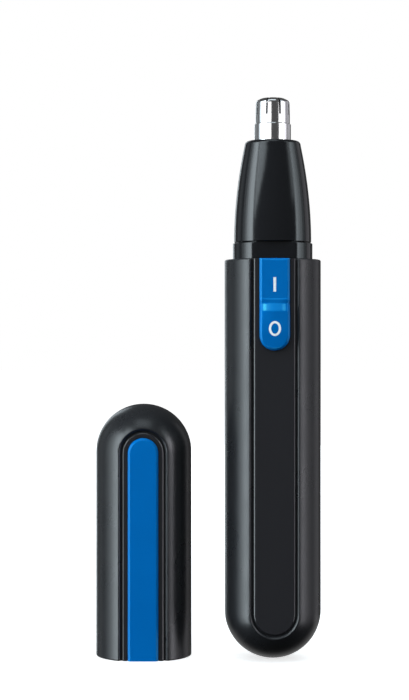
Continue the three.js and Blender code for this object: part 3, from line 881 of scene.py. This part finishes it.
def make_carrier():
    """The open frame that holds the battery and the motor."""
    foot, top, flat, radius, dome = 5.2, 81.9, 7.6, 9.1, 11
    bend = [math.radians(90 * k / 24) for k in range(25)]
    curve = [(radius * math.cos(a), dome - radius * math.sin(a)) for a in bend]
    curve = [(r, z) for r, z in curve if z > foot]
    foot_radius = math.sqrt(radius**2 - (dome - foot) ** 2)
    wall = [(0.01, foot), (foot_radius, foot)] + curve[::-1] + [(radius, top), (0.01, top)]
    piece = flatted("carrier", [(r, flat, z) for r, z in wall], front_only=True)
    bays = ((7.45, 6.4, 59.7), (7.85, 60.5, top + 1))
    cutters = []
    for k, (bay, low, high) in enumerate(bays):
        low_z, high_z = FOOT + low * MM, FOOT + high * MM
        cutters.append(round_bar(f"bay_{k}", bay, low, high, segments=144))
        cutters.append(block(f"bay_back_{k}", (-12 * MM, 2.5 * MM, low_z), (12 * MM, 12 * MM, high_z)))
        cutters.append(block(f"bay_front_{k}", (-3.3 * MM, -12 * MM, low_z), (3.3 * MM, 0, high_z)))
    below, over = 58.7, 61.5  # past both faces of the bulkhead between the bays
    notch_low = (-1.6 * MM, -12 * MM, FOOT + below * MM)
    notch_high = (1.6 * MM, -6.9 * MM, FOOT + over * MM)
    cutters.append(block("strip_notch", notch_low, notch_high))
    cutters.append(round_bar("lead_hole", 0.8, below, over, -3.1, 2.6, 24))
    cut(piece, *cutters)
    return fit(softened(piece, 0.12 * MM), "drive_unit", "cradle")


def make_cell():
    can = above([(0, 8.6, 0), (5.9, 8.6, 0.1), (6.2, 8.75, 0.1), (7.25, 8.75, 0.5), (7.25, 57.95, 0.5),
                 (6.3, 57.95, 0.15), (6.1, 58.1, 0.1), (0, 58.1, 0)])
    fit(turned("cell_can", can, segments=144), "drive_unit", "battery")
    tip = above([(0, 58.15, 0), (2.75, 58.15, 0.05), (2.75, 59.1, 0.35), (0, 59.1, 0)])
    return fit(turned("cell_tip", tip), "drive_unit", "battery_button")


def make_motor():
    edge, steps = 0.35, 6
    bend = [math.radians(90 * k / steps) for k in range(steps + 1)]
    outside = []
    for a in bend:
        inset, drop = edge * (1 - math.cos(a)), edge * (1 - math.sin(a))
        outside.append((7.7 - inset, 5.9 - inset, 81.9 - drop))
    inside = [(1.95, 1.95, 81.9), (1.95, 1.95, 81.2), (7, 5.2, 81.2), (7, 5.2, 64.4)]
    case = flatted("motor_case", [(7.7, 5.9, 64.4)] + outside + inside)
    cut(case, *[round_bar(f"screw_hole_{k}", 0.95, 80, 83, x, 0, 32) for k, x in enumerate((-4.9, 4.9))])
    fit(case, "drive_unit", "motor_can")
    end = flatted("motor_end", [(1.15, 1.15, 62.8), (7.7, 5.9, 62.8), (7.7, 5.9, 64.35), (6.95, 5.15, 64.35),
                                (6.95, 5.15, 65.4), (1.15, 1.15, 65.4)])
    return fit(softened(end, 0.12 * MM), "drive_unit", "motor_end_cap")


def make_seal():
    tube = arc((7.18 * MM, FOOT + 96.75 * MM), 0.42 * MM, 0, 345, 23)
    return fit(turned("seal_ring", tube, closed=True, segments=144), "drive_unit", "neck_seal")


make_casing()
cap_shell = make_cap_shell()
make_front_panel()
make_cap_inlay()
make_cap_stripe()
switch = make_button()
make_switch_stem()
make_on_mark()
make_off_mark()
make_carrier()
make_cell()
make_motor()
make_seal()
neck = make_neck()
head = make_head()
guard = make_guard()

for node, piece in frame["nodes"].items():
    if not piece.hide_render:
        piece.data.materials.clear()
        piece.data.materials.append(LOOKS[SLOT_OF[node]])

# ---------- camera ----------
CAMERA_DISTANCE = 0.435
CAMERA_SIDE = 5 * MM  # how far it stands to the left of the middle of the picture
FRAME_HEIGHT = 0.1604  # what the long side of the picture takes in, at the object
camera = bpy.data.objects.new("camera", bpy.data.cameras.new("camera"))
bpy.context.scene.collection.objects.link(camera)
camera.data.sensor_width = 36
camera.data.lens = camera.data.sensor_width * CAMERA_DISTANCE / FRAME_HEIGHT
camera.location = (CAP_X * 0.528 - CAMERA_SIDE, -CAMERA_DISTANCE, FOOT + 70.4 * MM)
camera.rotation_euler = (math.radians(90), 0, -math.atan(CAMERA_SIDE / CAMERA_DISTANCE))
bpy.context.scene.camera = camera

# ---------- light ----------
CENTRE = Vector((CAP_X / 2, 0, (FOOT + guard_high.z) / 2))
COOL = (0.83, 0.94, 1.0)
NEARLY_WHITE = (0.94, 0.93, 1.0)


def softbox(name, azimuth, elevation, distance, width, height, radiance, target=CENTRE, glossy=True,
            diffuse=True, tint=COOL):
    """A soft light that faces the object. Azimuth 0 is at the camera, and it grows to the left."""
    light = bpy.data.lights.new(name, "AREA")
    light.color = tint
    light.shape, light.size, light.size_y = "RECTANGLE", width, height
    light.energy = radiance * math.pi * width * height
    lamp = bpy.data.objects.new(name, light)
    a, e = math.radians(azimuth), math.radians(elevation)
    outward = Vector((-math.sin(a) * math.cos(e), -math.cos(a) * math.cos(e), math.sin(e)))
    lamp.location = target + outward * distance
    lamp.rotation_euler = outward.to_track_quat("Z", "Y").to_euler()
    lamp.visible_camera = False
    lamp.visible_glossy = glossy
    lamp.visible_diffuse = diffuse
    bpy.context.scene.collection.objects.link(lamp)
    return lamp


def graded_box(name, azimuths, radiances, distance=0.6, height=0.75, tint=COOL):
    """A tall softbox made of strips side by side, so that it fades from one edge to the other."""
    lamps = []
    for k, (near, far, radiance) in enumerate(zip(azimuths, azimuths[1:], radiances)):
        width = 2 * distance * math.tan(math.radians(abs(far - near) / 2))
        middle = (near + far) / 2
        lamps.append(softbox(f"{name}_{k}", middle, 3, distance, width, height, radiance, tint=tint))
    return lamps


def upper_box(name, start, elevation, step, radiances, height=0.47, shorter=0.045):
    """A softbox above the side boxes, made of upright strips that get shorter towards the middle."""
    turn = math.copysign(6, start)
    lamps = []
    for k, radiance in enumerate(radiances):
        azimuth, rise, tall = start - turn * k, elevation + step * k, height - shorter * k
        lamps.append(softbox(f"{name}_{k}", azimuth, rise, 0.7, 0.09, tall, radiance))
    return lamps


def lights_only(lamps, pieces):
    """Keeps some lamps to some pieces, as a studio does with flags and small reflectors."""
    receivers = bpy.data.collections.new(lamps[0].name + "_receivers")
    for piece in pieces:
        receivers.objects.link(piece)
    for lamp in lamps:
        lamp.light_linking.receiver_collection = receivers


top_pieces = [neck, head]
other_pieces = [o for o in bpy.context.scene.objects if o.type == "MESH" and o not in top_pieces]
lights_only(
    graded_box("left_box", (61, 68, 75, 83, 92, 102), (9.5, 6.5, 3.4, 1.4, 0.7))
    + graded_box("right_box", (-70, -75, -82, -92, -106), (5.5, 1.9, 0.85, 0.4), tint=NEARLY_WHITE)
    + upper_box("upper_left", 58, 31, 1.8, (3.8, 3.5, 3.0, 2.2, 1.0))
    + upper_box("upper_right", -67, 32, 0, (1.8, 0.5), 0.4, 0), other_pieces)
lights_only(
    graded_box("top_left_box", (63.5, 70, 78, 86, 94, 104), (6.5, 6.0, 4.3, 1.8, 0.6))
    + graded_box("top_right_box", (-72, -80, -88, -97, -108), (3.5, 2.3, 1.4, 0.4))
    + upper_box("top_upper_left", 58, 31, 1.8, (2.5, 2.5, 2.4, 2.3, 2.0, 1.3, 0.6), 0.47, 0.04)
    + upper_box("top_upper_right", -67, 32, 0, (1.3, 0.5), 0.4, 0), top_pieces)
lights_only([
    softbox("cap_right", -80, 12, 0.6, 0.32, 0.28, 5.0, diffuse=False, tint=NEARLY_WHITE),
], [cap_shell])
softbox("overhead", 8, 72, 0.7, 0.4, 0.3, 1.3)
softbox("back_left", 124, 6, 0.7, 0.22, 0.7, 0.2)
softbox("back_right", -124, 6, 0.7, 0.3, 0.7, 0.4, tint=NEARLY_WHITE)
softbox("back_box", 160, 10, 0.8, 0.16, 0.7, 1.6)
softbox("left_fill", 82, 10, 0.9, 0.7, 0.9, 1.2, glossy=False)
softbox("front_fill", 0, 18, 0.9, 0.9, 0.9, 1.15, glossy=False)
softbox("back_fill", 180, 18, 0.9, 0.9, 0.9, 1.2, glossy=False)
softbox("sky_fill", 0, 88, 1.0, 1.6, 1.6, 1.1, glossy=False)

guard_centre = Vector((0, 0, (guard_low.z + guard_high.z) / 2))
lights_only([
    softbox("guard_left", 38, 7.5, 0.5, 0.48, 0.12, 1.5, guard_centre, tint=(1, 1, 1)),
    softbox("guard_right", -58, 7.5, 0.5, 0.38, 0.12, 1.5, guard_centre, tint=(1, 1, 1)),
], [guard])
ramp = Vector((0, -BUTTON_CREST, CREST))
lights_only([
    softbox("ramp_left", 22, 47, 0.7, 0.066, 0.22, 15.0, ramp, diffuse=False, tint=(1, 1, 0.8)),
    softbox("ramp_middle", 13, 47, 0.7, 0.083, 0.22, 2.6, ramp, diffuse=False),
    softbox("ramp_right", -26, 47, 0.7, 0.055, 0.22, 7.0, ramp, diffuse=False),
    softbox("step", -4, 45, 0.7, 0.26, 0.25, 1.5, ramp, diffuse=False, tint=(0.5, 0.94, 1)),
    softbox("rim_below", 18, -58, 0.07, 0.09, 0.05, 3.0, ramp, diffuse=False),
], [switch])


def make_world():
    """White to the camera. To the object a dim studio, with a pale ground behind it."""
    dim, ground = 0.08, 0.34
    world = bpy.data.worlds.new("studio")
    bpy.context.scene.world = world
    world.use_nodes = True
    tree = world.node_tree

    def mapped(value, *limits):
        node = tree.nodes.new("ShaderNodeMapRange")
        node.interpolation_type = "SMOOTHSTEP"
        for socket, limit in zip(node.inputs[1:5], limits):
            socket.default_value = limit
        tree.links.new(value, node.inputs["Value"])
        return node

    direction = tree.nodes.new("ShaderNodeSeparateXYZ")
    tree.links.new(tree.nodes.new("ShaderNodeTexCoord").outputs["Generated"], direction.inputs[0])
    low = mapped(direction.outputs["Z"], -0.13, -0.30, 0, 1)
    behind = mapped(direction.outputs["Y"], 0.35, 0.8, -0.06, ground)
    share = tree.nodes.new("ShaderNodeMath")
    share.operation = "MULTIPLY_ADD"
    tree.links.new(low.outputs[0], share.inputs[0])
    tree.links.new(behind.outputs[0], share.inputs[1])
    share.inputs[2].default_value = dim
    seen = mapped(tree.nodes.new("ShaderNodeLightPath").outputs["Is Camera Ray"], 0, 1, 0, 1)
    tree.links.new(share.outputs[0], seen.inputs["To Min"])
    background = tree.nodes["Background"]
    background.inputs["Color"].default_value = (1, 1, 1, 1)
    tree.links.new(seen.outputs[0], background.inputs["Strength"])


make_world()

# ---------- floor ----------


def make_floor():
    """A plain pale disc under the object, which glows more away from it so that it runs into white."""
    look = Look("pale_floor", (0.9, 0.9, 0.9), 0.7, Emission_Color=(1, 1, 1, 1))
    look.vary_color(look.noise(0.5, 2), (0.88, 0.88, 0.88))
    far = look.node("VectorMath", Vector=look.place)
    far.operation = "LENGTH"
    glow = look.ranged(far.outputs["Value"], 0.72, 1.0, 0.05, 0.3)
    look.tree.links.new(glow, look.shader.inputs["Emission Strength"])
    radius = 6.0
    rim = [(radius * math.cos(a), radius * math.sin(a), FOOT) for a in (math.pi * k / 48 for k in range(96))]
    mesh = bpy.data.meshes.new("floor")
    mesh.from_pydata(rim, [], [list(range(96))])
    mesh.materials.append(look.material)
    floor = bpy.data.objects.new("floor", mesh)
    bpy.context.scene.collection.objects.link(floor)
    floor.visible_glossy = False
    floor.visible_diffuse = False


make_floor()
bpy.context.scene.view_settings.view_transform = "Standard"
